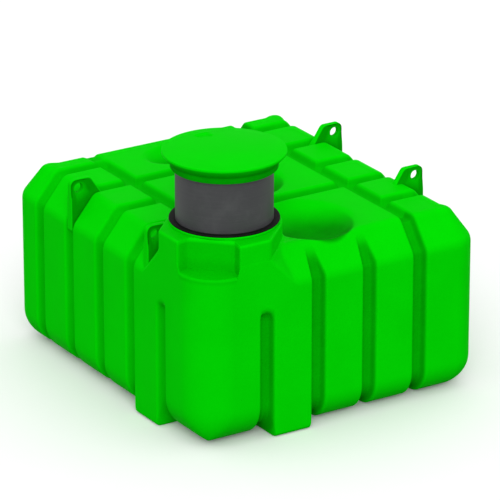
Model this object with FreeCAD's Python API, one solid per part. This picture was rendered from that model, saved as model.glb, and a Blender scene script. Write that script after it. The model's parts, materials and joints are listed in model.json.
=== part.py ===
import FreeCAD, Part
import math
import os

# Underground water tank: a low ribbed shell moulded in plastic, with a tower at one corner that
# carries the neck, a riser pipe that telescopes in the neck's seal, and a push-on lid.
# The origin is at the middle of the footprint on the ground, x across, y along, z up, in mm.

# Shell
LENGTH = 2400.0
WIDTH = 2140.0
DECK_HEIGHT = 1240.0
WALL = 12.0
CORNER_RADIUS = 190.0
TOWER_CORNER_RADIUS = 140.0
HEEL_RADIUS = 210.0
SHOULDER = 200.0
SHOULDER_BLEND = 90.0

# Ribbing: grooves at an even pitch, the first and last set back from the two ends of each face
GROOVE_WIDTH = 130.0
GROOVE_FLOOR_WIDTH = 70.0
GROOVE_DEPTH = 50.0
GROOVE_START = 497.0
SIDE_GROOVE_END = 347.0
FRONT_GROOVE_END = 476.0
SIDE_GROOVES = 5
FRONT_GROOVES = 4
GROOVE_OVERRUN = 60.0

# Stiffening dents in the deck, one in each cell between the two straps
DENT_DEPTH = 120.0
DENT_MARGIN = 30.0
DENT_LENGTH = 620.0
DENT_END = 180.0

# Tower and neck
NECK_INSET = 454.0
TOWER_DIAGONAL = 370.0
TOWER_RISE = 130.0
TOWER_FACE_HEIGHT = 314.0
SKIRT_DROP = 15.0
SKIRT_FLARE = 1.2
PAD_WIDTH = 396.0
PAD_HEIGHT = 205.0
PAD_CLEARANCE = 2.5
COLLAR_HEIGHT = 15.0
COLLAR_WALL = 12.0

# Riser, seal and lid
RISER_DIAMETER = 630.0
RISER_WALL = 10.0
RISER_LENGTH = 757.0
RISER_INSERTION = 300.0
SEAL_WIDTH = 30.0
SEAL_HEIGHT = 30.0
SEAL_PROUD = 10.0
SLIDE_CLEARANCE = 0.5
LID_DIAMETER = 800.0
LID_WALL = 8.0
LID_CROWN = 25.0
LID_RIM = 15.0
LID_TAPER = 55.0
LID_SOCKET_WALL = 30.0
LID_SOCKET_HEIGHT = 40.0
GRIP_LENGTH = 90.0
GRIP_WIDTH = 80.0
GRIP_DEPTH = 14.0
GRIP_INSET = 150.0

# Lifting lugs: upright fins across the long shoulders, each with an eye
LUG_THICKNESS = 40.0
LUG_EYE = 65.0
LUG_RIM = 28.0
LUG_RISE = 100.0
LUG_INSET = 10.0
LUG_TOP_WIDTH = 130.0
LUG_FOOT_WIDTH = 300.0
LUG_ROUND = 45.0

# Worked out from the sizes above
HALF_WIDTH = WIDTH / 2
HALF_LENGTH = LENGTH / 2
WALL_TOP = DECK_HEIGHT - SHOULDER
DECK_EDGE = SHOULDER + SHOULDER_BLEND * math.tan(math.radians(22.5))
FRONT_PITCH = (WIDTH - GROOVE_START - FRONT_GROOVE_END) / (FRONT_GROOVES - 1)
SIDE_PITCH = (LENGTH - GROOVE_START - SIDE_GROOVE_END) / (SIDE_GROOVES - 1)
TOWER_GROOVE_TOP = WALL_TOP - TOWER_FACE_HEIGHT
TOWER_TOP = DECK_HEIGHT + TOWER_RISE
SKIRT_TOP = DECK_HEIGHT - SKIRT_DROP
SKIRT_REACH = SKIRT_FLARE * (SKIRT_TOP - WALL_TOP)
NECK_X = NECK_INSET - HALF_WIDTH
NECK_Y = NECK_INSET - HALF_LENGTH
RING_TOP = TOWER_TOP + COLLAR_HEIGHT
RISER_RADIUS = RISER_DIAMETER / 2
RISER_BOTTOM = RING_TOP - RISER_INSERTION
RISER_TOP = RISER_BOTTOM + RISER_LENGTH
SEAL_INNER = RISER_RADIUS + SLIDE_CLEARANCE
SEAL_OUTER = SEAL_INNER + SEAL_WIDTH
BORE_RADIUS = SEAL_OUTER
PAD_DISTANCE = BORE_RADIUS + WALL + PAD_CLEARANCE
REACH = 4 * (LENGTH + WIDTH)
OUTSIDE = 20.0
TOUCH = 0.001
X_AXIS = FreeCAD.Vector(1, 0, 0)
Y_AXIS = FreeCAD.Vector(0, 1, 0)
Z_AXIS = FreeCAD.Vector(0, 0, 1)


def vector(x, y, z):
    return FreeCAD.Vector(x, y, z)


def joined(shape, others):
    return shape.fuse(others, TOUCH).removeSplitter()


def trimmed(shape, others):
    return shape.cut(others, TOUCH)


def shared(shape, other):
    return shape.common([other], TOUCH)


def front_groove(index):
    """Place across the tank of a groove in the front and back."""
    return GROOVE_START + index * FRONT_PITCH - HALF_WIDTH


def side_groove(index):
    """Place along the tank of a groove in the two sides."""
    return GROOVE_START + index * SIDE_PITCH - HALF_LENGTH


def rounded_edges(corners, closed):
    """Edges through corner points, each with its own radius, as straight runs joined by tangent arcs."""
    count = len(corners)
    joints = []
    for index in range(count):
        point, radius = corners[index]
        if radius <= 0 or (not closed and index in (0, count - 1)):
            joints.append((point, None, point))
            continue
        back = (corners[index - 1][0] - point).normalize()
        ahead = (corners[(index + 1) % count][0] - point).normalize()
        half_angle = back.getAngle(ahead) / 2
        start = point + back * (radius / math.tan(half_angle))
        end = point + ahead * (radius / math.tan(half_angle))
        bisector = (back + ahead).normalize()
        middle = point + bisector * (radius / math.sin(half_angle) - radius)
        joints.append((start, middle, end))
    edges = []
    for index in range(count):
        start, middle, end = joints[index]
        if middle is not None:
            edges.append(Part.Arc(start, middle, end).toShape())
        if closed or index < count - 1:
            following = joints[(index + 1) % count][0]
            edges.append(Part.LineSegment(end, following).toShape())
    return edges


def solid_from(edges, sweep):
    """Prism on a closed outline."""
    return Part.Face(Part.Wire(edges)).extrude(sweep)


def box_between(low, high):
    size = high - low
    return Part.makeBox(size.x, size.y, size.z, low)


def plan_prism(points, bottom, top):
    """Prism on a polygon given in plan."""
    corners = [vector(x, y, bottom) for x, y in points]
    wire = Part.makePolygon(corners + corners[:1])
    return Part.Face(wire).extrude(vector(0, 0, top - bottom))


def section_corners(half_span, inset):
    """Cross-section of the shell as (across, height, radius), at a distance inside its outer face."""
    side = half_span - inset
    top = DECK_HEIGHT - inset
    drop = SHOULDER - inset * (2 - math.sqrt(2))
    heel = HEEL_RADIUS - inset
    blend = SHOULDER_BLEND - inset
    return [(-side, inset, heel), (-side, top - drop, blend), (drop - side, top, blend),
            (side - drop, top, blend), (side, top - drop, blend), (side, inset, heel)]


def across(place):
    """Maps a section point to the plane that cuts the tank across at y = place."""
    return lambda span, height: vector(span, place, height)


def along(place):
    """Maps a section point to the plane that cuts the tank lengthwise at x = place."""
    return lambda span, height: vector(place, span, height)


def plan_outline(inset, bottom, top):
    """Upright prism of the tank's plan, with its rounded corners."""
    x = HALF_WIDTH - inset
    y = HALF_LENGTH - inset
    plain = CORNER_RADIUS - inset
    corners = [(vector(-x, -y, bottom), TOWER_CORNER_RADIUS - inset), (vector(x, -y, bottom), plain),
               (vector(x, y, bottom), plain), (vector(-x, y, bottom), plain)]
    return solid_from(rounded_edges(corners, True), vector(0, 0, top - bottom))


def plain_body(inset):
    """The shell without ribs: its plan and its two cross-sections, each carried through the others."""
    cross = [(across(-REACH / 2)(u, z), r) for u, z, r in section_corners(HALF_WIDTH, inset)]
    long = [(along(-REACH / 2)(u, z), r) for u, z, r in section_corners(HALF_LENGTH, inset)]
    body = plan_outline(inset, -OUTSIDE, DECK_HEIGHT + OUTSIDE)
    body = shared(body, solid_from(rounded_edges(long, True), vector(REACH, 0, 0)))
    return shared(body, solid_from(rounded_edges(cross, True), vector(0, REACH, 0)))


def groove(path, sideways, inset):
    """Groove cutter: a flat-bottomed vee carried along a path on the shell's face."""
    slope = (GROOVE_WIDTH - GROOVE_FLOOR_WIDTH) / 2 / GROOVE_DEPTH
    spread = inset * (math.hypot(1, slope) - slope)
    mouth = GROOVE_WIDTH / 2 + spread + slope * OUTSIDE
    floor = GROOVE_FLOOR_WIDTH / 2 + spread
    edges = rounded_edges(path, False)
    start = path[0][0]
    heading = (path[1][0] - start).normalize()
    inward = sideways.cross(heading)
    section = [(-mouth, -OUTSIDE), (mouth, -OUTSIDE), (floor, GROOVE_DEPTH), (-floor, GROOVE_DEPTH)]
    points = [start + sideways * u + inward * v for u, v in section]
    maker = Part.BRepOffsetAPI.MakePipeShell(Part.Wire(edges))
    maker.setBiNormalMode(sideways)
    maker.add(Part.makePolygon(points + points[:1]), False, False)
    maker.build()
    maker.makeSolid()
    return maker.shape()


def groove_path(half_span, inset, place, first, last, start=None, end=None):
    """Stretch of a cross-section from corner first to corner last, with the ends where it runs out."""
    corners = section_corners(half_span, inset)
    floor_end = half_span - HEEL_RADIUS - GROOVE_OVERRUN
    start = start or (-floor_end, inset)
    end = end or (floor_end, inset)
    run = [(place(*start), 0)]
    run += [(place(u, z), r) for u, z, r in corners[first:last + 1]]
    return run + [(place(*end), 0)]


def rib_grooves(inset):
    """All grooves: over the sides at every rib, up the ends, along the two straps and up the tower."""
    deck = DECK_HEIGHT - inset
    strap_left = front_groove(0)
    strap_right = front_groove(FRONT_GROOVES - 1)
    cutters = []
    for index in range(SIDE_GROOVES):
        place = across(side_groove(index))
        if index % 2 == 1:
            cutters.append(groove(groove_path(HALF_WIDTH, inset, place, 0, 5), Y_AXIS, inset))
            continue
        right = groove_path(HALF_WIDTH, inset, place, 3, 5, start=(strap_right, deck))
        cutters.append(groove(right, Y_AXIS, inset))
        if index > 0:
            left = groove_path(HALF_WIDTH, inset, place, 0, 2, end=(strap_left, deck))
            cutters.append(groove(left, Y_AXIS, inset))
    run_out = HALF_LENGTH - DECK_EDGE - GROOVE_OVERRUN / 2
    for index in range(FRONT_GROOVES):
        place = along(front_groove(index))
        if index == FRONT_GROOVES - 1:
            cutters.append(groove(groove_path(HALF_LENGTH, inset, place, 0, 5), -X_AXIS, inset))
            continue
        begin = NECK_Y + NECK_INSET if index == 0 else run_out
        back = groove_path(HALF_LENGTH, inset, place, 3, 5, start=(begin, deck))
        cutters.append(groove(back, -X_AXIS, inset))
        if index == 0:
            front_end = (inset - HALF_LENGTH, TOWER_GROOVE_TOP)
            front = groove_path(HALF_LENGTH, inset, place, 0, 0, end=front_end)
        else:
            front = groove_path(HALF_LENGTH, inset, place, 0, 2, end=(-run_out, deck))
        cutters.append(groove(front, -X_AXIS, inset))
    side_end = (inset - HALF_WIDTH, TOWER_GROOVE_TOP)
    tower_side = groove_path(HALF_WIDTH, inset, across(side_groove(0)), 0, 0, end=side_end)
    cutters.append(groove(tower_side, Y_AXIS, inset))
    return cutters


def deck_rows():
    """Places along the tank of the straps that cross the deck from side to side."""
    return [side_groove(index) for index in range(1, SIDE_GROOVES, 2)]


def dents(inset):
    """Dents in the deck's middle cells: troughs that are round across and slope up at both ends."""
    x = (front_groove(0) + front_groove(FRONT_GROOVES - 1)) / 2
    starts = [DECK_EDGE - HALF_LENGTH] + [place + GROOVE_WIDTH / 2 for place in deck_rows()]
    ends = [place - GROOVE_WIDTH / 2 for place in deck_rows()] + [HALF_LENGTH - DECK_EDGE]
    slope = DENT_END / DENT_DEPTH
    half_mouth = DENT_LENGTH / 2 + inset * math.hypot(1, slope) + slope * OUTSIDE - slope * inset
    half_floor = half_mouth - slope * (DENT_DEPTH + 2 * OUTSIDE)
    top = DECK_HEIGHT - inset + OUTSIDE
    bottom = top - DENT_DEPTH - 2 * OUTSIDE
    shapes = []
    for low, high in zip(starts, ends):
        y = (low + high) / 2
        half_run = (high - low) / 2 - DENT_MARGIN
        radius = (half_run ** 2 + DENT_DEPTH ** 2) / (2 * DENT_DEPTH)
        axis = vector(x - HALF_WIDTH, y, DECK_HEIGHT + radius - DENT_DEPTH)
        trough = Part.makeCylinder(radius + inset, WIDTH, axis, X_AXIS)
        section = [(x - half_mouth, top), (x + half_mouth, top),
                   (x + half_floor, bottom), (x - half_floor, bottom)]
        points = [vector(u, -HALF_LENGTH, z) for u, z in section]
        ends_cut = Part.Face(Part.makePolygon(points + points[:1])).extrude(vector(0, LENGTH, 0))
        shapes.append(shared(trough, ends_cut))
    return shapes


def tower_outline(face, diagonal, height):
    """Outline about the neck: square at the tank's corner, cut off on the slant at the other three."""
    side = diagonal * math.sqrt(2) - face
    plan = [(-face, -face), (side, -face), (face, -side), (face, side),
            (side, face), (-side, face), (-face, side)]
    points = [vector(NECK_X + x, NECK_Y + y, height) for x, y in plan]
    return Part.makePolygon(points + points[:1])


def tower_mass(inset):
    """The tower above the wall's top: a neck block on a flared skirt, cut by the tank's plan."""
    face = NECK_INSET - inset
    diagonal = TOWER_DIAGONAL - inset
    outline = Part.Face(tower_outline(face, diagonal, WALL_TOP))
    block = outline.extrude(vector(0, 0, TOWER_TOP - inset - WALL_TOP))
    skirt_inset = inset * math.hypot(1, SKIRT_FLARE) - inset
    flare = SKIRT_REACH - skirt_inset
    low = tower_outline(face + flare, diagonal + flare, WALL_TOP)
    high = tower_outline(face - skirt_inset, diagonal - skirt_inset, SKIRT_TOP)
    skirt = Part.makeLoft([low, high], True, True)
    return shared(joined(block, [skirt]), plan_outline(inset, 0, RING_TOP))


def tower_prism(growth, bottom):
    """Upright block round the tower's outline, by which the tower is cut out of the shell."""
    outline = tower_outline(NECK_INSET + growth, TOWER_DIAGONAL + growth, bottom)
    return Part.Face(outline).extrude(vector(0, 0, RING_TOP - bottom))


def corner_pad(inset):
    """Recess in the tower's outer corner, down to a flat pad square to the corner's diagonal."""
    outward = vector(-1, -1, 0).normalize()
    sideways = vector(1, -1, 0).normalize() * (PAD_WIDTH / 2 + inset)
    near = vector(NECK_X, NECK_Y, 0) + outward * (PAD_DISTANCE - inset)
    far = near + outward * NECK_INSET
    points = [near - sideways, near + sideways, far + sideways, far - sideways]
    return plan_prism([(point.x, point.y) for point in points], TOWER_TOP - PAD_HEIGHT - inset, RING_TOP)


def foot_boxes(inset):
    """Square feet under the two pillars beside the tower's corner, where the heel isn't rounded."""
    margin = GROOVE_WIDTH / 2 + inset
    front = box_between(vector(front_groove(0) + margin, inset - HALF_LENGTH, inset),
                        vector(front_groove(1) - margin, HEEL_RADIUS - HALF_LENGTH, HEEL_RADIUS))
    left = box_between(vector(inset - HALF_WIDTH, side_groove(0) + margin, inset),
                       vector(HEEL_RADIUS - HALF_WIDTH, side_groove(1) - margin, HEEL_RADIUS))
    return [front, left]


def moulded_form(inset):
    """The whole moulded body as one solid, its face moved inwards by a distance."""
    body = trimmed(plain_body(inset), rib_grooves(inset) + dents(inset))
    return trimmed(joined(body, [tower_mass(inset)] + foot_boxes(inset)), [corner_pad(inset)])


def neck_bore():
    return Part.makeCylinder(BORE_RADIUS, RING_TOP, vector(NECK_X, NECK_Y, WALL_TOP), Z_AXIS)


def ring_regions(depth):
    """Plan outlines of the strips along the four sides, mitred at the corners, and of the middle."""
    x, y, m = HALF_WIDTH, HALF_LENGTH, OUTSIDE
    a, b = x - depth, y - depth
    outer = [(-x - m, -y - m), (x + m, -y - m), (x + m, y + m), (-x - m, y + m)]
    inner = [(-a, -b), (a, -b), (a, b), (-a, b)]
    names = ("front", "right", "back", "left")
    strips = {}
    for index, name in enumerate(names):
        following = (index + 1) % 4
        strips[name] = [outer[index], outer[following], inner[following], inner[index]]
    return strips, inner


def shell_nodes(form):
    """The shell, cut where a maker would name its walls, heels, shoulders, deck, feet and tower."""
    shell = trimmed(form, [moulded_form(WALL), neck_bore()])
    skirt = tower_prism(SKIRT_REACH, WALL_TOP)
    block = tower_prism(OUTSIDE, SKIRT_TOP)
    feet = dict(zip(("front_foot", "left_foot"), foot_boxes(0)))
    nodes = {name: shared(shell, box) for name, box in feet.items()}
    heels, middle = ring_regions(HEEL_RADIUS)
    nodes["floor"] = shared(shell, plan_prism(middle, -OUTSIDE, HEEL_RADIUS))
    for side, outline in heels.items():
        region = trimmed(plan_prism(outline, -OUTSIDE, HEEL_RADIUS), list(feet.values()))
        nodes[side + "_heel"] = shared(shell, region)
        nodes[side + "_wall"] = shared(shell, plan_prism(outline, HEEL_RADIUS, WALL_TOP))
    shoulders, middle = ring_regions(DECK_EDGE)
    for side, outline in shoulders.items():
        region = trimmed(plan_prism(outline, WALL_TOP, RING_TOP), [skirt])
        nodes[side + "_shoulder"] = shared(shell, region)
    deck = plan_prism(middle, WALL_TOP, RING_TOP)
    nodes["tower_skirt"] = shared(shell, trimmed(skirt, [deck, block]))
    nodes["neck_tower"] = shared(shell, block)
    left, right = middle[0][0], middle[1][0]
    front, back = middle[0][1], middle[2][1]
    strap_left = front_groove(0)
    strap_right = front_groove(FRONT_GROOVES - 1)
    first, last = deck_rows()[0], deck_rows()[-1]
    spans = {"deck_left": (left, strap_left, front, back), "deck_right": (strap_right, right, front, back),
             "deck_front": (strap_left, strap_right, front, first),
             "deck_middle": (strap_left, strap_right, first, last),
             "deck_back": (strap_left, strap_right, last, back)}
    for name, (x_low, x_high, y_low, y_high) in spans.items():
        region = box_between(vector(x_low, y_low, WALL_TOP), vector(x_high, y_high, RING_TOP))
        nodes[name] = shared(shell, trimmed(region, [block]))
    return nodes


def turned(profile):
    """Solid turned about the neck's axis from (radius, height) points."""
    points = [vector(NECK_X + r, NECK_Y, z) for r, z in profile]
    face = Part.Face(Part.makePolygon(points + points[:1]))
    return face.revolve(vector(NECK_X, NECK_Y, 0), Z_AXIS, 360)


def neck_collar():
    """Rim that stands on the tower's top round the bore."""
    outer = BORE_RADIUS + COLLAR_WALL
    return turned([(BORE_RADIUS, TOWER_TOP), (outer, TOWER_TOP), (outer, RING_TOP), (BORE_RADIUS, RING_TOP)])


def neck_seal():
    """Lip seal between the bore and the riser, a little proud of the collar."""
    low = RING_TOP + SEAL_PROUD - SEAL_HEIGHT
    high = RING_TOP + SEAL_PROUD
    return turned([(SEAL_INNER, low), (SEAL_OUTER, low), (SEAL_OUTER, high), (SEAL_INNER, high)])


def riser():
    inner = RISER_RADIUS - RISER_WALL
    return turned([(inner, RISER_BOTTOM), (RISER_RADIUS, RISER_BOTTOM), (RISER_RADIUS, RISER_TOP),
                   (inner, RISER_TOP)])


def lid():
    """Domed cover whose underside tapers in to a thick socket that grips the riser."""
    edge = LID_DIAMETER / 2
    inner = RISER_RADIUS + SLIDE_CLEARANCE
    outer = inner + LID_SOCKET_WALL
    rim = RISER_TOP + LID_WALL
    taper_top = rim - LID_RIM
    taper_low = taper_top - LID_TAPER
    bottom = taper_low - LID_SOCKET_HEIGHT
    body = turned([(0, RISER_TOP), (edge - LID_WALL, RISER_TOP), (edge - LID_WALL, taper_top),
                   (outer - LID_WALL, taper_low + LID_WALL), (inner, taper_low + LID_WALL), (inner, bottom),
                   (outer, bottom), (outer, taper_low), (edge, taper_top), (edge, rim), (0, rim)])
    radius = (edge ** 2 + LID_CROWN ** 2) / (2 * LID_CROWN)
    ball = Part.makeSphere(radius, vector(NECK_X, NECK_Y, rim + LID_CROWN - radius))
    dome = shared(Part.makeCylinder(edge, LID_CROWN, vector(NECK_X, NECK_Y, rim), Z_AXIS), ball)
    grip_y = NECK_Y + edge - GRIP_INSET
    low = vector(NECK_X - GRIP_LENGTH / 2, grip_y - GRIP_WIDTH / 2, rim + LID_CROWN - LID_WALL - GRIP_DEPTH)
    grip = Part.makeBox(GRIP_LENGTH, GRIP_WIDTH, LID_CROWN + GRIP_DEPTH, low)
    return trimmed(joined(body, [dome]), [grip])


def lifting_lug(side, place, form):
    """Fin across a long shoulder with an eye near its outer edge, seated on the moulded form."""
    outer = side * (HALF_WIDTH - LUG_INSET)
    top = DECK_HEIGHT + LUG_RISE
    low = WALL_TOP - GROOVE_DEPTH
    y = place - LUG_THICKNESS / 2
    across_fin = [(0, low, 0), (0, top, LUG_ROUND),
                  (LUG_TOP_WIDTH, top, LUG_ROUND), (LUG_FOOT_WIDTH, low, 0)]
    corners = [(vector(outer - side * u, y, z), radius) for u, z, radius in across_fin]
    fin = solid_from(rounded_edges(corners, True), vector(0, LUG_THICKNESS, 0))
    reach = LUG_EYE / 2 + LUG_RIM
    centre = vector(outer - side * reach, y, top - reach)
    eye = Part.makeCylinder(LUG_EYE / 2, LUG_THICKNESS, centre, Y_AXIS)
    return trimmed(fin, [eye, form])


def lug_nodes(form):
    """Lugs on both sides, at the last strap and in the first full panel."""
    places = {"back": deck_rows()[-1], "front": (side_groove(0) + side_groove(1)) / 2}
    nodes = {}
    for end, place in places.items():
        nodes["lug_left_" + end] = lifting_lug(-1, place, form)
        nodes["lug_right_" + end] = lifting_lug(1, place, form)
    return nodes


def main():
    os.makedirs("parts", exist_ok=True)
    form = moulded_form(0)
    nodes = shell_nodes(form)
    nodes.update(lug_nodes(form))
    nodes.update(neck_collar=neck_collar(), neck_seal=neck_seal(), riser=riser(), lid=lid())
    for name, shape in nodes.items():
        shape.exportStep("parts/" + name + ".step")


main()
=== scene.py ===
import json
import math

import bpy
import numpy as np
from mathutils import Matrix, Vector


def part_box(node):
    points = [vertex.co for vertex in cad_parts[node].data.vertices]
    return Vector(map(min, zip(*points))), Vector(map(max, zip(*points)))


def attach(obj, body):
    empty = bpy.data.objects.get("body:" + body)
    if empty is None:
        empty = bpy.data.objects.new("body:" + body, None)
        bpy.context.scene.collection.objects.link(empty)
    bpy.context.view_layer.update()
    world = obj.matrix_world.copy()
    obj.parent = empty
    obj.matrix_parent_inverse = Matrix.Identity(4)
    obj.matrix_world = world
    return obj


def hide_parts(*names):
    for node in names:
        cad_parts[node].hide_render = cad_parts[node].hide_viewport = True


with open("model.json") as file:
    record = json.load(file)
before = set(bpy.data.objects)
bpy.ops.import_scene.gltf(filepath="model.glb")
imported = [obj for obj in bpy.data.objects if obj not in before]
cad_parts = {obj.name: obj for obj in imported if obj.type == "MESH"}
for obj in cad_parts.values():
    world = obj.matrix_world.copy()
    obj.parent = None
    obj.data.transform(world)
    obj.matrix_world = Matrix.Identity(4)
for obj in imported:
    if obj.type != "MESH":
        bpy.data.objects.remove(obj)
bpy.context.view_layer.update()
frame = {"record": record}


def node_box(node):
    """Lowest and highest corner of a CAD node, as arrays."""
    return [np.array(corner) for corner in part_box(node)]


# Main sizes, in metres, read from the frame
HALF_X, HALF_Y = node_box("right_wall")[1][0], node_box("back_wall")[1][1]
HEEL, WALL_TOP = (corner[2] for corner in node_box("back_wall"))
DECK = node_box("deck_right")[1][2]
DECK_EDGE = HALF_X - node_box("deck_right")[1][0]
SHOULDER = DECK - WALL_TOP
SHOULDER_BLEND = (DECK_EDGE - SHOULDER) / math.tan(math.pi / 8)
COLLAR_LOW, COLLAR_HIGH = node_box("neck_collar")
SEAL_LOW, SEAL_HIGH = node_box("neck_seal")
RISER_LOW, RISER_HIGH = node_box("riser")
LID_LOW, LID_HIGH = node_box("lid")
NECK = (COLLAR_LOW[:2] + COLLAR_HIGH[:2]) / 2
COLLAR_RADIUS = COLLAR_HIGH[0] - NECK[0]
BORE = SEAL_HIGH[0] - NECK[0]
RISER_RADIUS = RISER_HIGH[0] - NECK[0]
LID_RADIUS = LID_HIGH[0] - NECK[0]
TOWER_FACE = HALF_X + NECK[0]
TOWER_TOP = COLLAR_LOW[2]
SKIRT_TOP = node_box("neck_tower")[0][2]

# Shell. RIM_BAND is the width in plan of the ring of heel, wall and shoulder. Each corner has its radius in
# plan and the inset where that has shrunk to a mitre's. The keeps are shares of the CAD shoulder's width.
RIM_BAND = 0.26
FOOT_EDGE = 0.03
PILLAR_HEEL = 0.245
TOWER_CORNER = "front_left"
CORNERS = {"front_right": (0.18, RIM_BAND), "back_right": (0.18, RIM_BAND),
           "back_left": (0.16, RIM_BAND), TOWER_CORNER: (0.25, 0.125)}
MITRE_ROUND = 0.02
SHOULDER_KEEP, CORNER_KEEP = 0.82, 0.64
CREASE = 0.02

# Rows of the shell's section: floor, heel arc, wall, knee, slope, brow, deck
SECTION_ROWS = (4, 14, 40, 8, 16, 10, 4)

# Tower: round about the neck, with faces and slants on the side of the tank's corner
NECK_RADIUS = COLLAR_RADIUS + 0.0125
NECK_WALL = BORE + 0.0145
TOWER_SIDES = ((math.pi * 0.75, NECK_RADIUS), (math.pi, TOWER_FACE),
               (math.pi * 1.5, TOWER_FACE), (math.pi * 1.75, NECK_RADIUS))
TOWER_ROOT = DECK - 0.14
TOWER_FILLET = 0.028
SKIRT_FLARE, SKIRT_INLAND_FALL = 0.7, 1.5
SKIRT_EDGE = 0.02
PAD_HALF, PAD_LOW = 0.198, TOWER_TOP - 0.205

# Fits: slack of tower and collar round the seal, and of seal and lid round the riser
SEAL_SLACK, RISER_SLACK = 0.001, 0.0007

# Grooves: places across and along the tank, depth, and half-widths of floor and mouth
STRAP_LOW, STRAP_HIGH = node_box("deck_middle")
GROOVES_X = np.linspace(STRAP_LOW[0], STRAP_HIGH[0], 4)
GROOVE_PITCH = (STRAP_HIGH[1] - STRAP_LOW[1]) / 2
GROOVES_Y = STRAP_LOW[1] + GROOVE_PITCH * np.arange(-1, 4)
GROOVE_DEPTH = 0.05
GROOVE_FLOOR, GROOVE_MOUTH = 0.026, 0.062
TOWER_GROOVE_TOP = 0.726
STRAP_RISE = 0.75

# Dents of the deck: depth, half of their width, and where each starts and stops along the tank
DENT_DEPTH = 0.12
DENT_HALF = 0.31
DENT_MIDDLE = (STRAP_LOW[0] + STRAP_HIGH[0]) / 2
DENT_MARGIN = 0.095
DENT_SPANS = ((-HALF_Y + 0.11, GROOVES_Y[1] - GROOVE_MOUTH),
              (GROOVES_Y[1] + DENT_MARGIN, GROOVES_Y[3] - DENT_MARGIN),
              (GROOVES_Y[3] + DENT_MARGIN, HALF_Y - DECK_EDGE - 0.03))

# Painted shade, as shares of full cover: floor and sides of the grooves, the part of it that lies on the long
# walls and in the straps, the dents, the tower's recess with its lower edge and floor, the lid, the lugs
GROOVE_SHADE, GROOVE_SIDE_SHADE = 0.42, 0.4
LONG_WALL_PART, STRAP_PART = 0.5, 0.6
DENT_SHADE = 0.66
PAD_SHADE, PAD_EDGE_SHADE, PAD_FLOOR_SHADE = 0.24, 0.13, 0.15
LID_SHADE, LUG_SHADE = 0.62, 0.62


# Field helpers

def ease(low, high, value):
    """Rises smoothly from 0 at low to 1 at high, by the cubic 3t^2 - 2t^3."""
    t = np.clip((value - low) / (high - low), 0, 1)
    return t * t * (3 - 2 * t)


def soft_max(a, b, width):
    """The larger of two fields; where they differ by less than the width, a parabola rounds the crease."""
    near = np.clip(1 - np.abs(a - b) / width, 0, None)
    return np.maximum(a, b) + near * near * width / 4


def window(value, half, edge):
    """1 inside plus or minus half, falling smoothly to 0 over an edge of the given width."""
    return 1 - ease(half - edge / 2, half + edge / 2, np.abs(value))


def groove(offset, lift=0.0):
    """Depth of a groove's section: a flat floor with smooth sides, cut shallower by the lift."""
    return np.maximum(GROOVE_DEPTH * (1 - ease(GROOVE_FLOOR, GROOVE_MOUTH, np.abs(offset))) - lift, 0)


def groove_painted_shade(cut):
    """Painted shade by a groove's depth: even on the floor, and more on the sides, where the depth is half.
    """
    share = np.clip(cut / GROOVE_DEPTH, 0, 1)
    return GROOVE_SHADE * ease(0.05, 0.5, share) + GROOVE_SIDE_SHADE * share * (1 - share)


def dent_painted_shade(x, y):
    """Painted shade in the dents: an oval patch on the bottom and the front slope of each, with a soft edge.
    """
    half_width, place, reach = 0.23, 0.3, 0.4
    painted_shade = np.zeros(np.shape(x))
    for low, high in DENT_SPANS:
        along = ((y - low) / (high - low) - place) / reach
        patch = np.hypot((x - DENT_MIDDLE) / half_width, along)
        painted_shade = np.maximum(painted_shade, 1 - ease(0.75, 1.6, patch))
    return painted_shade * DENT_SHADE * ease(0.005, 0.02, DECK - dent_surface(x, y))


# Mesh helpers

def add_piece(name, points, faces, body, slot, *nodes, painted_shade=None):
    """Smooth mesh object from points and faces, riding on a body and standing for CAD nodes. The painted
    shade field, where given, becomes an attribute of the points for the material to read."""
    mesh = bpy.data.meshes.new(name)
    mesh.from_pydata(points.reshape(-1, 3).tolist(), [], faces)
    mesh.update()
    if painted_shade is not None:
        layer = mesh.attributes.new("painted_shade", "FLOAT", "POINT")
        layer.data.foreach_set("value", painted_shade.astype(np.float32).ravel())
    mesh.shade_smooth()
    piece = bpy.data.objects.new(name, mesh)
    bpy.context.scene.collection.objects.link(piece)
    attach(piece, body)
    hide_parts(*nodes)
    return piece


def grid_faces(rows, columns, wrap_rows=False, wrap_columns=False):
    """Quads of a grid of points, closed round on itself in either direction."""
    r = np.arange(rows if wrap_rows else rows - 1)[:, None]
    c = np.arange(columns if wrap_columns else columns - 1)[None, :]
    below, above = r * columns, (r + 1) % rows * columns
    left, right = c, (c + 1) % columns
    return np.stack([below + left, below + right, above + right, above + left], axis=-1).reshape(-1, 4)


def outward(points, *groups):
    """Faces of a closed surface, all turned round where the volume that they enclose comes out negative."""
    flat = points.reshape(-1, 3)
    fans = [group[:, [0, k, k + 1]] for group in groups for k in range(1, group.shape[1] - 1)]
    a, b, c = np.moveaxis(flat[np.concatenate(fans)], 1, 0)
    step = 1 if (a * np.cross(b, c)).sum() > 0 else -1
    return [face for group in groups for face in group[:, ::step].tolist()]


def rounded_line(corners, radii, steps=6):
    """Polyline of 2-D points whose corners are replaced by tangent arcs, each of its own radius."""
    points = []
    count = len(corners)
    for index in range(count):
        here = np.array(corners[index], float)
        radius = radii[index]
        if radius <= 0:
            points.append(here[None])
            continue
        back = np.array(corners[index - 1], float) - here
        ahead = np.array(corners[(index + 1) % count], float) - here
        back /= np.linalg.norm(back)
        ahead /= np.linalg.norm(ahead)
        half = math.acos(np.clip(back @ ahead, -1, 1)) / 2
        middle = (back + ahead) / np.linalg.norm(back + ahead)
        centre = here + middle * radius / math.sin(half)
        sweep = np.linspace(half - math.pi / 2, math.pi / 2 - half, steps)[:, None]
        across = (back - ahead) / np.linalg.norm(back - ahead)
        points.append(centre + radius * (-middle * np.cos(sweep) - across * np.sin(sweep)))
    return np.concatenate(points)


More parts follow.
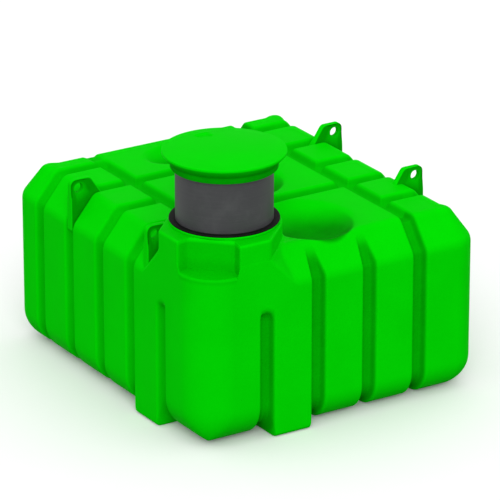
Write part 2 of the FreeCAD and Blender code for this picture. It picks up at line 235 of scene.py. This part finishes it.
def neck_turn(radius, height, turns):
    """Rows of points: each radius and height of a section, turned about the neck's axis."""
    angle = np.linspace(0, 2 * math.pi, turns, endpoint=False)[None, :]
    x, y = NECK[0] + radius * np.cos(angle), NECK[1] + radius * np.sin(angle)
    return np.stack([x, y, np.broadcast_to(height, x.shape)], axis=-1)


def turned_ring(name, section, body, slot, node, turns=192):
    """Closed section of (radius, height) points turned about the neck's axis."""
    points = neck_turn(section[:, :1], section[:, 1:], turns)
    faces = outward(points, grid_faces(len(section), turns, wrap_rows=True, wrap_columns=True))
    return add_piece(name, points, faces, body, slot, node)


# Tank's top surface as fields over the plan

def tower_growth(x, y):
    """Distance outside the tower's outline. Towards the deck the outline is round. Towards the tank's corner
    it is the largest distance past the two faces and two slants, with soft corners."""
    soft = 0.01
    east, north = x - NECK[0], y - NECK[1]
    total = 0
    for angle, reach in TOWER_SIDES:
        past = east * math.cos(angle) + north * math.sin(angle) - reach
        total = total + np.exp(np.clip(past / soft, -60, 60))
    return np.where(east + north > 0, np.hypot(east, north) - NECK_RADIUS, soft * np.log(total))


def tower_fillet(growth):
    """Rise of the surface against the tower's foot: a quarter circle of the fillet's radius."""
    near = np.clip(1 - growth / TOWER_FILLET, 0, 0.999)
    return TOWER_FILLET * (1 - np.sqrt(1 - near ** 2))


def skirt_height(x, y, growth):
    """Height of the skirt: it falls away from the tower's faces and slants at its flare, with a fillet at the
    foot, and drops off quickly on the side of the deck."""
    inland = np.maximum(x - NECK[0] + y - NECK[1], 0)
    fall = np.maximum(growth, 0) / SKIRT_FLARE + SKIRT_INLAND_FALL * inland
    return SKIRT_TOP + tower_fillet(growth) - fall


def pad_share(x, y):
    """1 within the width of the recess at the tower's corner, and 0 elsewhere."""
    side_edge, inner_edge = 0.024, 0.05
    along = (x - NECK[0] - y + NECK[1]) / math.sqrt(2)
    outer = -(x - NECK[0] + y - NECK[1]) / math.sqrt(2)
    return window(along, PAD_HALF, side_edge) * ease(0, inner_edge, outer)


def pad_painted_shade(x, y, height):
    """Painted shade in the recess: thin on its face and floor, and more where the two meet."""
    low = 1 - ease(PAD_LOW + 0.01, PAD_LOW + 0.1, height)
    above = ease(PAD_LOW - 0.01, PAD_LOW + 0.002, height)
    return pad_share(x, y) * (PAD_SHADE + PAD_EDGE_SHADE * low * above)


def strap_depth(x, y):
    """Depth of the straps in the deck: the deepest of all grooves. The left strap starts at the second cross
    strap and rises towards the back. Every other cross strap lies only outside the two long ones, and the
    first only on the right."""
    left, right = GROOVES_X[0], GROOVES_X[3]
    start, end = GROOVES_Y[1], HALF_Y - RIM_BAND
    fading = 1 - STRAP_RISE * ease(end - 0.1, end - 0.01, y)
    depth = np.maximum(groove(x - right), groove(x - left) * fading * ease(start - 0.03, start + 0.03, y))
    for index, place in enumerate(GROOVES_Y):
        reach = 1 if index % 2 else ease(right - 0.03, right + 0.02, x)
        if index in (2, 4):
            reach = reach + 1 - ease(left - 0.02, left + 0.03, x)
        depth = np.maximum(depth, groove(y - place) * reach)
    return depth


def dent_surface(x, y):
    """Height of the dents: parabolic bowls, oval in plan, whose sides go on above the deck past the rim."""
    height = np.full(np.shape(x), DECK + 0.1)
    across = (x - DENT_MIDDLE) / DENT_HALF
    for low, high in DENT_SPANS:
        along = (2 * y - low - high) / (high - low)
        height = np.minimum(height, DECK - DENT_DEPTH * (1 - across ** 2 - along ** 2))
    return height


def top_surface(x, y, plain, drop=0.0):
    """Height of shoulder and deck: the plain height cut by the dents, raised in a fillet against the tower,
    covered by the skirt where that is higher, less a drop at the edge, and lowered in the corner's recess."""
    growth = tower_growth(x, y)
    cut = -soft_max(-plain, -dent_surface(x, y), CREASE)
    raised = cut + tower_fillet(growth)
    covered = soft_max(raised, skirt_height(x, y, growth) - drop, CREASE)
    return covered - pad_share(x, y) * np.maximum(covered - PAD_LOW + drop, 0)


# Shell ring: heel, walls and shoulder

def side_places(grooves, limit):
    """Sample places along a side: close in the grooves, wider on the panels between them."""
    half, groove_step, panel_step = 0.082, 0.006, 0.014
    marks = np.concatenate([[-limit], (grooves[:, None] + np.array([-half, half])).ravel(), [limit]])
    runs = []
    for index in range(len(marks) - 1):
        step = groove_step if index % 2 else panel_step
        count = max(1, math.ceil((marks[index + 1] - marks[index]) / step))
        runs.append(np.linspace(marks[index], marks[index + 1], count, endpoint=False))
    return np.append(np.concatenate(runs), limit)


X_SIDE = side_places(GROOVES_X, HALF_X - RIM_BAND)
Y_SIDE = side_places(GROOVES_Y, HALF_Y - RIM_BAND)


def corner_run(inset, fraction, radius, fade):
    """Way round a corner at an inset: straight, an arc that shrinks to almost none at the fade, straight; as
    distances from the two faces that meet there, by the fraction of the way's length."""
    arc = np.clip(radius * (1 - inset / fade), MITRE_ROUND, RIM_BAND - inset)
    straight = RIM_BAND - inset - arc
    run = fraction * (2 * straight + arc * math.pi / 2)
    turn = np.clip((run - straight) / np.maximum(arc, 1e-6), 0, math.pi / 2)
    first = np.minimum(run, straight)
    last = np.clip(run - straight - arc * math.pi / 2, 0, None)
    p = RIM_BAND - first - arc * np.sin(turn)
    q = inset + arc * (1 - np.cos(turn)) + last
    return p, q


def steep_shoulder(inset, keep):
    """Insets of the shoulder shrunk by a factor, so that the deck reaches further out, and stretched again
    over the flat band inside the deck's edge."""
    inner = (inset - DECK_EDGE) / (RIM_BAND - DECK_EDGE)
    flat = keep * DECK_EDGE + inner * (RIM_BAND - keep * DECK_EDGE)
    return np.where(inset < DECK_EDGE, inset * keep, flat)


def shell_section(heel):
    """Section of the shell by rows, as inset, height and inward normal: floor, heel arc, wall, knee, slope,
    brow and deck. Each column has its own radius of heel. Also gives the rows up to the wall's two ends."""
    one = np.ones_like(heel)[None, :]
    heel = heel[None, :]
    low_t, arc_t, wall_t, knee_t, slope_t, brow_t = (np.linspace(0, 1, rows, endpoint=False)[:, None]
                                                     for rows in SECTION_ROWS[:-1])
    edge_t = np.linspace(0, 1, SECTION_ROWS[-1])[:, None]
    arc_t = arc_t * math.pi / 2
    knee_t = knee_t * math.pi / 4
    brow_t = (1 - brow_t) * math.pi / 4
    wall_end = WALL_TOP - SHOULDER_BLEND * math.tan(math.pi / 8)
    root = math.sqrt(0.5)
    slope_low = np.array([SHOULDER_BLEND * (1 - root), wall_end + SHOULDER_BLEND * root])
    slope_high = np.array([DECK_EDGE - SHOULDER_BLEND * root, DECK - SHOULDER_BLEND * (1 - root)])
    slope = slope_low + (slope_high - slope_low) * slope_t
    blocks = [
        (RIM_BAND + (heel - RIM_BAND) * low_t, 0 * low_t, 0 * low_t, 1 + 0 * low_t),
        (heel * (1 - np.sin(arc_t)), heel * (1 - np.cos(arc_t)), np.sin(arc_t), np.cos(arc_t)),
        (0 * wall_t, heel + (wall_end - heel) * wall_t, 1 + 0 * wall_t, 0 * wall_t),
        (SHOULDER_BLEND * (1 - np.cos(knee_t)), wall_end + SHOULDER_BLEND * np.sin(knee_t),
         np.cos(knee_t), -np.sin(knee_t)),
        (slope[:, :1], slope[:, 1:], root + 0 * slope_t, -root + 0 * slope_t),
        (DECK_EDGE - SHOULDER_BLEND * np.sin(brow_t), DECK - SHOULDER_BLEND * (1 - np.cos(brow_t)),
         np.sin(brow_t), -np.cos(brow_t)),
        (DECK_EDGE + (RIM_BAND - DECK_EDGE) * edge_t, DECK + 0 * edge_t, 0 * edge_t, -1 + 0 * edge_t),
    ]
    fields = [np.concatenate([block[k] * one for block in blocks]) for k in range(4)]
    return fields, sum(SECTION_ROWS[:2]), sum(SECTION_ROWS[:3])


def side_grooves(run):
    """Places of the grooves along a side."""
    return GROOVES_X if run in ("front", "back") else GROOVES_Y


def foot_share(place, grooves):
    """1 along the foot, which fills the heel between the first two grooves, and 0 elsewhere."""
    first, second = grooves[:2]
    clear, full = 0.03, 0.066
    return ease(first + clear, first + full, place) * (1 - ease(second - full, second - clear, place))


def heel_radii(run, place):
    """Radius of the heel along a side or round a corner: large below the tower, small under the feet."""
    radii = np.full(place.shape, HEEL)
    if run == TOWER_CORNER:
        radii[:] = PILLAR_HEEL
    elif run in ("front", "left"):
        grooves = side_grooves(run)
        radii += (PILLAR_HEEL - HEEL) * (1 - ease(grooves[0] - 0.03, grooves[0], place))
        radii += (FOOT_EDGE - HEEL) * foot_share(place, grooves)
    return radii


def side_cut(run, place, inset, height, first, last):
    """Depth that a side's grooves cut into the section, whose wall lies between two rows. They fade out under
    the floor. The groove beside the tower ends low on the wall, and the left strap's back end rises. The
    middle two grooves of each end run out up the shoulder."""
    cut = np.zeros(inset.shape)
    if run in CORNERS:
        return cut
    under = 1 - ease(0.2, 0.255, inset)
    under[first:] = 1
    below_tower = 1 - ease(TOWER_GROOVE_TOP - 0.03, TOWER_GROOVE_TOP + 0.02, height)
    below_tower[last:] = 0
    back_end = np.where(inset + height > DECK, 1 - STRAP_RISE * ease(0.05, 0.2, inset), 1)
    first_gate = {"front": below_tower, "left": below_tower, "back": back_end, "right": 1}[run]
    rise_start, rise_length, rise_share = 0.02, 0.16, 1.1
    rise = rise_share * GROOVE_DEPTH * np.clip((inset - rise_start) / rise_length, 0, 1)
    rise[:last] = 0
    for index, centre in enumerate(side_grooves(run)):
        offset = np.broadcast_to(place - centre, inset.shape)
        runs_out = run in ("front", "back") and index in (1, 2)
        gate = under if index else under * first_gate
        cut = np.maximum(cut, groove(offset, rise if runs_out else 0.0) * gate)
    return cut


def plan_points(run, place, depth):
    """Points in plan at depths inside the outline: along a side, or round a corner."""
    if run in CORNERS:
        p, q = corner_run(depth, place[None, :], *CORNERS[run])
        return {"front_right": (HALF_X - p, q - HALF_Y), "back_right": (HALF_X - q, HALF_Y - p),
                "back_left": (p - HALF_X, HALF_Y - q), TOWER_CORNER: (q - HALF_X, p - HALF_Y)}[run]
    along = np.broadcast_to(place, depth.shape)
    return {"front": (along, depth - HALF_Y), "right": (HALF_X - depth, along),
            "back": (along, HALF_Y - depth), "left": (depth - HALF_X, along)}[run]


def shell_run(run, place):
    """The shell along one side or round one corner, as a grid of x, y, z and painted shade. The section is
    pushed in by the grooves, its shoulder follows the top surface, and its wall is stretched to meet that."""
    (inset, height, normal_in, normal_up), first, last = shell_section(heel_radii(run, place))
    cut = side_cut(run, place, inset, height, first, last)
    keep = np.full(place.shape, SHOULDER_KEEP)
    if run in CORNERS and run != TOWER_CORNER:
        keep += (CORNER_KEEP - SHOULDER_KEEP) * np.sin(math.pi * place) ** 2
    depth = inset.copy()
    depth[last:] = steep_shoulder(inset[last:], keep)
    depth += cut * normal_in
    z = height + cut * normal_up
    x, y = plan_points(run, place, depth)
    knee_width = SHOULDER_BLEND * (1 - math.sqrt(0.5))
    edge = np.clip(1 - inset / knee_width, 0, 1)
    lifted = top_surface(x, y, z, SKIRT_EDGE * (1 - np.sqrt(1 - edge ** 2)))
    low = z[first:first + 1]
    share = (z[first:last] - low) / (z[last:last + 1] - low)
    z[last:] = lifted[last:]
    z[first:last] = low + (z[last:last + 1] - low) * share
    painted_shade = groove_painted_shade(cut) * (LONG_WALL_PART if run in ("left", "right") else 1)
    painted_shade[last:] = np.maximum(painted_shade, dent_painted_shade(x, y) + PAD_FLOOR_SHADE * pad_share(x, y))[last:]
    return np.stack([x, y, z, painted_shade], axis=-1)


def shell_ring():
    """Heel, walls and shoulder in one surface: the section carried round the plan, side by side."""
    plain_turn = np.linspace(0, 1, 30)[1:-1]
    tower_turn = np.linspace(0, 1, 62)[1:-1]
    runs = [("front", X_SIDE), ("front_right", plain_turn), ("right", Y_SIDE), ("back_right", plain_turn),
            ("back", X_SIDE[::-1]), ("back_left", plain_turn), ("left", Y_SIDE[::-1]),
            (TOWER_CORNER, tower_turn)]
    surface = np.concatenate([shell_run(run, place) for run, place in runs], axis=1)
    points, painted_shade = surface[..., :3], surface[..., 3]
    faces = clear_of_neck(points, grid_faces(*painted_shade.shape, wrap_columns=True))
    sides = ("front", "right", "back", "left")
    nodes = [side + part for side in sides for part in ("_heel", "_wall", "_shoulder")]
    return add_piece("shell_walls", points, faces.tolist(), "tank", "tank_plastic", *nodes,
                     "front_foot", "left_foot", "tower_skirt", painted_shade=painted_shade)


def clear_of_neck(points, faces):
    """Leaves out the faces inside the neck's round wall, where the riser passes."""
    lap, below = 0.004, WALL_TOP - 0.1
    middle = points.reshape(-1, 3)[faces].mean(axis=1)
    outside = np.hypot(middle[:, 0] - NECK[0], middle[:, 1] - NECK[1]) > NECK_WALL - lap
    return faces[outside | (middle[:, 2] < below)]


def deck():
    """Deck between the shoulders: the height field over a grid whose edges match the shell's top row."""
    x, y = np.meshgrid(X_SIDE, Y_SIDE)
    straps = strap_depth(x, y)
    points = np.stack([x, y, top_surface(x, y, DECK - straps)], axis=-1)
    faces = clear_of_neck(points, grid_faces(*x.shape))
    # The deck carries painted shade in its straps and dents.
    return add_piece("deck", points, faces.tolist(), "tank", "tank_plastic",
                     "deck_left", "deck_right", "deck_front", "deck_middle", "deck_back",
                     painted_shade=np.maximum(STRAP_PART * groove_painted_shade(straps), dent_painted_shade(x, y)))


def floor_plate():
    """Underside: a level grid that faces down, whose edges match the shell's lowest row."""
    x, y = np.meshgrid(X_SIDE, Y_SIDE)
    points = np.stack([x, y, 0 * x], axis=-1)
    return add_piece("floor_plate", points, grid_faces(*x.shape)[:, ::-1].tolist(),
                     "tank", "tank_plastic", "floor")


# Tower, riser and lid

def tower_outline(angle):
    """Radius of the tower's outline about the neck, by angle. On the side of the tank's corner it is a
    polygon with soft corners, cut back at the corner to a flat pad. On the side of the deck it is round."""
    set_back, sharpness, pad_edge = 0.0005, 60, 0.02
    total = 0
    for side, reach in TOWER_SIDES:
        total = total + np.clip(np.cos(angle - side) / (reach - set_back), 1e-3, None) ** sharpness
    deck_side = np.cos(angle - math.pi / 4) > 0
    outline = np.where(deck_side, NECK_RADIUS - set_back, total ** (-1 / sharpness))
    away = np.abs((angle - math.pi / 4) % (2 * math.pi) - math.pi)
    inside = window(outline * np.sin(np.minimum(away, math.pi / 2)), PAD_HALF, pad_edge)
    flat = NECK_WALL / np.cos(np.minimum(away, 1.0))
    return outline + (np.minimum(outline, flat) - outline) * inside


def tower():
    """Neck block: the tower's outline carried down from a rounded top edge, and the bore inside."""
    turns = 720
    outline = tower_outline(np.linspace(0, 2 * math.pi, turns, endpoint=False)[None, :])
    edge, bore_edge = 0.018, 0.004
    bore = BORE + SEAL_SLACK + 0 * outline
    arc = np.linspace(0, math.pi / 2, 7)[:, None]
    plate = np.linspace(0, 1, 5)[:-1, None]
    down = np.linspace(0, 1, 24)[1:, None]
    plate_start = bore + bore_edge
    plate_end = np.maximum(outline - edge, plate_start)
    radius = np.concatenate([bore, bore, plate_start + (plate_end - plate_start) * plate,
                             plate_end + (outline - plate_end) * np.sin(arc), outline + 0 * down])
    height = np.concatenate([[[TOWER_ROOT]], [[TOWER_TOP - bore_edge]], TOWER_TOP + 0 * plate,
                             TOWER_TOP - edge * (1 - np.cos(arc)),
                             TOWER_TOP - edge + (TOWER_ROOT - TOWER_TOP + edge) * down])
    points = neck_turn(radius, height, turns)
    faces = outward(points, grid_faces(len(height), turns, wrap_rows=True, wrap_columns=True))
    # Painted shade in the corner's recess, on the tower's outer face only.
    painted_shade = pad_painted_shade(*np.moveaxis(points, -1, 0))
    painted_shade[:-len(down)] = 0
    return add_piece("neck_block", points, faces, "tank", "tank_plastic", "neck_tower", painted_shade=painted_shade)


def collar():
    """Rim round the bore, a ring of rounded section let into the tower's top."""
    sunk = 0.001
    low, high, inner = COLLAR_LOW[2] - sunk, COLLAR_HIGH[2], BORE + SEAL_SLACK
    corners = [(inner, low), (COLLAR_RADIUS, low), (COLLAR_RADIUS, high), (inner, high)]
    section = rounded_line(corners, (0, 0, 0.004, 0.002))
    return turned_ring("neck_rim", section, "tank", "tank_plastic", "neck_collar")


def seal():
    """Lip seal: a ring in the bore with a flange on the rim and a rounded lip that leans on the riser."""
    inset, crest = 0.002, 0.003
    low, high, inner = SEAL_LOW[2], SEAL_HIGH[2], RISER_RADIUS + RISER_SLACK
    rim, flange = COLLAR_HIGH[2], COLLAR_RADIUS - inset
    corners = [(inner, low), (BORE, low), (BORE, rim), (flange, rim), (flange, high + crest), (inner, high)]
    section = rounded_line(corners, (0, 0, 0, 0, 0.005, 0.003))
    return turned_ring("lip_seal", section, "tank", "seal_rubber", "neck_seal")


def riser():
    """Riser pipe: a plain tube with eased ends."""
    wall, eased = 0.01, 0.003
    low, high, inner = RISER_LOW[2], RISER_HIGH[2], RISER_RADIUS - wall
    corners = [(inner, low), (RISER_RADIUS, low), (RISER_RADIUS, high), (inner, high)]
    section = rounded_line(corners, (eased,) * 4, 4)
    return turned_ring("riser_pipe", section, "riser", "riser_plastic", "riser")


def lid():
    """Lid: dome, rounded rim, cone and socket as one turned section between two poles. The dome dips in a
    square hand recess near its far edge, and painted shadow lies under the rim."""
    crown, skin, roof, rim_height = 0.025, 0.009, 0.0075, 0.014
    socket_wall, socket_height, ledge = 0.0305, 0.039, 0.047
    edge, rim, low = LID_RADIUS, LID_HIGH[2] - crown, LID_LOW[2]
    under_rim, under_roof = rim - rim_height, rim - roof
    ball = (edge ** 2 + crown ** 2) / (2 * crown)
    reach = np.linspace(0, edge - 0.006, 52)
    dome = np.stack([reach, rim + crown - ball + np.sqrt(ball ** 2 - reach ** 2)], axis=-1)
    socket_in, socket_out = RISER_RADIUS + RISER_SLACK, RISER_RADIUS + socket_wall
    corners = [dome[-1], (edge, rim), (edge, under_rim), (socket_out, low + socket_height), (socket_out, low),
               (socket_in, low), (socket_in, low + ledge), (socket_out - 0.008, low + ledge),
               (edge - skin, under_rim - 0.001), (edge - skin, under_roof), (0.05, under_roof),
               (0, under_roof)]
    radii = (0, 0.005, 0.006, 0.02, 0.006, 0.003, 0.002, 0.002, 0.002, 0.002, 0, 0)
    section = np.concatenate([dome, rounded_line(corners, radii)[1:]])
    turns, rows = 256, len(section) - 2
    points = neck_turn(section[1:-1, :1], section[1:-1, 1:], turns)
    dip_half_x, dip_half_y, dip_place, dip_depth, dip_edge = 0.045, 0.04, 0.25, 0.014, 0.016
    dip = window(points[..., 0] - NECK[0], dip_half_x, dip_edge)
    dip = dip * window(points[..., 1] - NECK[1] - dip_place, dip_half_y, dip_edge)
    points[:len(dome) - 1, :, 2] -= dip_depth * dip[:len(dome) - 1]
    poles = np.array([[*NECK, section[0, 1]], [*NECK, section[-1, 1]]])
    points = np.concatenate([points.reshape(-1, 3), poles])
    here = np.arange(turns)
    after = (here + 1) % turns
    last_row = (rows - 1) * turns
    top = np.stack([here, after, np.full(turns, rows * turns)], axis=-1)
    under = np.stack([last_row + after, last_row + here, np.full(turns, rows * turns + 1)], axis=-1)
    faces = outward(points, grid_faces(rows, turns, wrap_columns=True)[:, ::-1], top, under)
    painted_shade = LID_SHADE * (1 - ease(under_rim - 0.008, under_rim, points[:, 2]))
    return add_piece("lid_cover", points, faces, "riser", "lid_plastic", "lid", painted_shade=painted_shade)


def lug(place):
    """Lifting lug: each point of the fin's rounded outline is joined to the eye by the same rounded strip,
    so the section runs out over one face, round the edge and back over the other."""
    (low_x, low_y, _), (high_x, high_y, top) = node_box("lug_" + place)
    eye_mount = next(mount for mount in frame["record"]["mounts"] if mount["name"] == "lift_eye_" + place)
    eye_x, middle_y, eye_z = eye_mount["pos_m"]
    eye_radius = eye_mount["dims"]["r_mm"] / 1000
    side = math.copysign(1, eye_x)
    outer, half = max(abs(low_x), abs(high_x)), (high_y - low_y) / 2
    edge, top_width, foot_width, foot_depth, corner_round = 0.006, 0.15, 0.27, 0.08, 0.04
    corners = [(outer, WALL_TOP - GROOVE_DEPTH), (outer, top), (outer - top_width, top),
               (outer - foot_width, DECK - foot_depth)]
    line = rounded_line(corners, (0, corner_round, corner_round, 0), 12)
    closed = np.concatenate([line, line[:1]])
    step = np.append(0, np.cumsum(np.hypot(*np.diff(closed, axis=0).T)))
    run = np.linspace(0, step[-1], 160, endpoint=False)
    outline = np.stack([np.interp(run, step, closed[:, k]) for k in (0, 1)], axis=-1)
    eye = np.array([abs(eye_x), eye_z])
    away = outline - eye
    length = np.hypot(*away.T)
    heading = away / length[:, None]
    quarter = np.linspace(0, math.pi / 2, 5)
    bends = list(zip(edge * (1 - np.sin(quarter)), edge * (1 - np.cos(quarter))))
    # The last column of the strip is painted shade: full on the fin's two faces, part round the eye, none on
    # the outer edge.
    spokes, eye_shade = (0.9, 0.66, 0.33), 0.6
    strip = [(1, -a, b - half, 0) for a, b in bends]
    strip += [(1, -b, half - a, 0) for a, b in bends]
    strip += [(share, (1 - share) * eye_radius, half, 1) for share in spokes]
    strip += [(0, eye_radius + a, half - b, eye_shade) for a, b in bends]
    strip += [(0, eye_radius + b, a - half, eye_shade) for a, b in bends]
    strip += [(share, (1 - share) * eye_radius, -half, 1) for share in spokes[::-1]]
    share, shift, across, painted_shade = (np.array(column)[:, None] for column in zip(*strip))
    distance = share * length[None, :] + shift
    x = side * (eye[0] + heading[:, 0] * distance)
    z = eye[1] + heading[:, 1] * distance
    root_flare = 0.5 * (1 - ease(DECK - 0.07, DECK + 0.03, z))
    y = middle_y + across * (1 + root_flare)
    points = np.stack([x, y, z], axis=-1)
    faces = outward(points, grid_faces(len(strip), len(outline), wrap_rows=True, wrap_columns=True))
    return add_piece("lift_lug_" + place, points, faces, "tank", "tank_plastic", "lug_" + place,
                     painted_shade=LUG_SHADE * painted_shade + 0 * x)


# Shader helpers

class Wire:
    """A shader socket that takes part in Python arithmetic: each operator adds one Math node."""

    def __init__(self, tree, socket):
        self.tree = tree
        self.socket = socket

    def node(self, kind, settings=(), inputs=(), output=0):
        """Any other node: its type, its settings, its sockets' values or links; gives one of its outputs."""
        made = self.tree.nodes.new(kind)
        for name, value in dict(settings).items():
            setattr(made, name, value)
        for name, value in dict(inputs).items():
            if isinstance(value, Wire):
                self.tree.links.new(value.socket, made.inputs[name])
            else:
                made.inputs[name].default_value = value
        return Wire(self.tree, made.outputs[output])

    def math(self, operation, first, second):
        return self.node("ShaderNodeMath", {"operation": operation}, {0: first, 1: second})

    def __add__(self, other):
        return self.math("ADD", self, other)

    __radd__ = __add__

    def __mul__(self, other):
        return self.math("MULTIPLY", self, other)

    __rmul__ = __mul__

    def noise(self, scale, detail=2.0, roughness=0.5):
        """Noise between 0 and 1 on this vector."""
        return self.node("ShaderNodeTexNoise", {}, {"Vector": self, "Scale": scale, "Detail": detail,
                                                    "Roughness": roughness}, "Fac")

    def stretched(self, *scale):
        """This vector scaled by axis, for a pattern drawn out in one direction."""
        return self.node("ShaderNodeMapping", {}, {"Vector": self, "Scale": scale})

    def spread(self, low, high):
        """This value taken from low..high to 0..1, smoothly."""
        return self.node("ShaderNodeMapRange", {"interpolation_type": "SMOOTHSTEP"},
                         {"Value": self, "From Min": low, "From Max": high}, "Result")

    def blend(self, first, second):
        """Colour between two colours by this factor."""
        return self.node("ShaderNodeMix", {"data_type": "RGBA"}, {0: self, 6: first, 7: second}, 2)

    def bump(self, strength, distance):
        """Normal of a surface raised by this height."""
        return self.node("ShaderNodeBump", {}, {"Strength": strength, "Distance": distance, "Height": self},
                         "Normal")


def new_material(name, **constants):
    """Material with a Principled shader, its constant sockets set; gives it with its object coordinates."""
    made = bpy.data.materials.new(name)
    made.use_nodes = True
    shader = made.node_tree.nodes["Principled BSDF"]
    for socket, value in constants.items():
        shader.inputs[socket.replace("_", " ")].default_value = value
    coordinates = made.node_tree.nodes.new("ShaderNodeTexCoord")
    return made, shader, Wire(made.node_tree, coordinates.outputs["Object"])


def connect(shader, **wires):
    """Links wires to the shader's sockets of these names."""
    for socket, wire in wires.items():
        wire.tree.links.new(wire.socket, shader.inputs[socket.replace("_", " ")])


def moulded_plastic(name):
    """Satin moulded polyethylene: slight cloudiness, fine orange peel, faint scuffs that are paler and
    duller, and the painted shade of the grooves and dents."""
    made, shader, place = new_material(name, Specular_IOR_Level=0.005, IOR=1.5)
    clear = (0.0006, 0.64, 0.0008, 1)
    deep = (0.0004, 0.59, 0.0005, 1)
    pale = (0.004, 0.68, 0.005, 1)
    # The next colour is the dark green of the painted shade, not the plastic's own.
    shade_colour = (0.0002, 0.1, 0.0003, 1)
    cloud = place.noise(2.2, 4.0, 0.6).spread(0.3, 0.7)
    speck = place.noise(90.0, 2.0)
    scuff = place.stretched(9.0, 9.0, 1.3).noise(5.0, 6.0, 0.7).spread(0.62, 0.8)
    scuff = scuff * place.noise(1.3, 2.0).spread(0.45, 0.7)
    # Painted shade, read from the pieces' point attribute and made uneven by noise.
    layer = place.node("ShaderNodeAttribute", {"attribute_name": "painted_shade"}, {}, "Fac")
    painted_shade = layer * (0.75 + 0.5 * place.noise(7.0, 4.0, 0.6))
    worn = (scuff * 0.3).blend((cloud * 0.7 + speck * 0.3).blend(deep, clear), pale)
    peel = place.noise(260.0, 2.0) * 0.5 + place.noise(48.0, 2.0) + place.noise(5.0, 1.0) * 3.0
    rough = 0.46 + 0.1 * cloud + 0.12 * scuff + 0.1 * painted_shade
    connect(shader, Base_Color=painted_shade.blend(worn, shade_colour), Roughness=rough, Normal=peel.bump(0.35, 0.0016))
    return made


def pipe_plastic():
    """Dull dark pipe: faint drawing lines round it, dust that lightens it in patches."""
    made, shader, place = new_material("dull_pipe", Specular_IOR_Level=0.2)
    lines = place.stretched(1.0, 1.0, 60.0).noise(3.0, 3.0)
    dust = place.noise(4.0, 5.0, 0.65).spread(0.4, 0.75)
    tint = (dust * 0.6 + lines * 0.4).blend((0.038, 0.039, 0.041, 1), (0.068, 0.07, 0.072, 1))
    connect(shader, Base_Color=tint, Roughness=0.5 + 0.2 * dust,
            Normal=(lines + place.noise(200.0, 2.0) * 0.4).bump(0.25, 0.001))
    return made


def seal_rubber():
    """Matt black rubber with a fine grain and a little bloom."""
    made, shader, place = new_material("seal_rubber", Specular_IOR_Level=0.1)
    bloom = place.noise(14.0, 4.0, 0.6).spread(0.45, 0.8)
    connect(shader, Base_Color=bloom.blend((0.003, 0.0035, 0.003, 1), (0.008, 0.009, 0.008, 1)),
            Roughness=0.7 + 0.15 * bloom, Normal=place.noise(420.0, 2.0).bump(0.3, 0.0006))
    return made


# Stage

def seen_rays(tree):
    """1 where a surface is seen directly, in a gloss or through glass, and 0 where it only lights others."""
    path = tree.nodes.new("ShaderNodeLightPath")
    camera, gloss, through = (Wire(tree, path.outputs["Is %s Ray" % kind])
                              for kind in ("Camera", "Glossy", "Transmission"))
    return camera + gloss + through


def pale_floor():
    """Wide level floor: pale where it is seen, and a quiet grey where it only throws light back."""
    reach, drop = 60.0, -0.001
    corners = [(-reach, -reach, drop), (reach, -reach, drop), (reach, reach, drop), (-reach, reach, drop)]
    mesh = bpy.data.meshes.new("stage_floor")
    mesh.from_pydata(corners, [], [(0, 1, 2, 3)])
    floor = bpy.data.objects.new("stage_floor", mesh)
    bpy.context.scene.collection.objects.link(floor)
    made, shader = new_material("stage_floor", Roughness=0.9, Specular_IOR_Level=0.0)[:2]
    quiet, pale = (0.19, 0.19, 0.19, 1), (0.96, 0.96, 0.96, 1)
    connect(shader, Base_Color=seen_rays(made.node_tree).blend(quiet, pale))
    mesh.materials.append(made)


def studio_light():
    """Even sky, white where it is seen, and one broad lamp high in front, to the left."""
    world = bpy.data.worlds.new("studio")
    bpy.context.scene.world = world
    world.use_nodes = True
    sky = world.node_tree.nodes["Background"]
    sky.inputs["Color"].default_value = (1, 1, 1, 1)
    seen = seen_rays(world.node_tree)
    level = 0.95
    world.node_tree.links.new((level + (1 - level) * seen).socket, sky.inputs["Strength"])
    lamp = bpy.data.lights.new("high_lamp", "SUN")
    lamp.energy = 1.46
    lamp.angle = math.radians(40)
    holder = bpy.data.objects.new("high_lamp", lamp)
    holder.rotation_euler = Vector((-0.46, -0.77, 0.44)).to_track_quat("Z", "Y").to_euler()
    bpy.context.scene.collection.objects.link(holder)


def photo_camera():
    """Camera where the photograph was taken from, turned to the tank and drawn in to it."""
    data = bpy.data.cameras.new("photo_view")
    data.lens = 316.0
    data.sensor_width = 36.0
    data.clip_end = 200.0
    holder = bpy.data.objects.new("photo_view", data)
    holder.location = (-14.325, -22.865, 11.52)
    aim = Vector((0.02, -0.04, 0.79))
    holder.rotation_euler = (aim - holder.location).to_track_quat("-Z", "Y").to_euler()
    bpy.context.scene.collection.objects.link(holder)
    bpy.context.scene.camera = holder


def main():
    """Makes the pieces with their materials, then floor, light and camera."""
    lugs = [lug(place) for place in ("left_back", "right_back", "left_front", "right_front")]
    tank_finish = moulded_plastic("tank_plastic")
    for piece in [shell_ring(), deck(), floor_plate(), tower(), collar()] + lugs:
        piece.data.materials.append(tank_finish)
    lid().data.materials.append(moulded_plastic("lid_plastic"))
    riser().data.materials.append(pipe_plastic())
    seal().data.materials.append(seal_rubber())
    pale_floor()
    studio_light()
    photo_camera()
    bpy.context.scene.view_settings.view_transform = "Standard"


main()
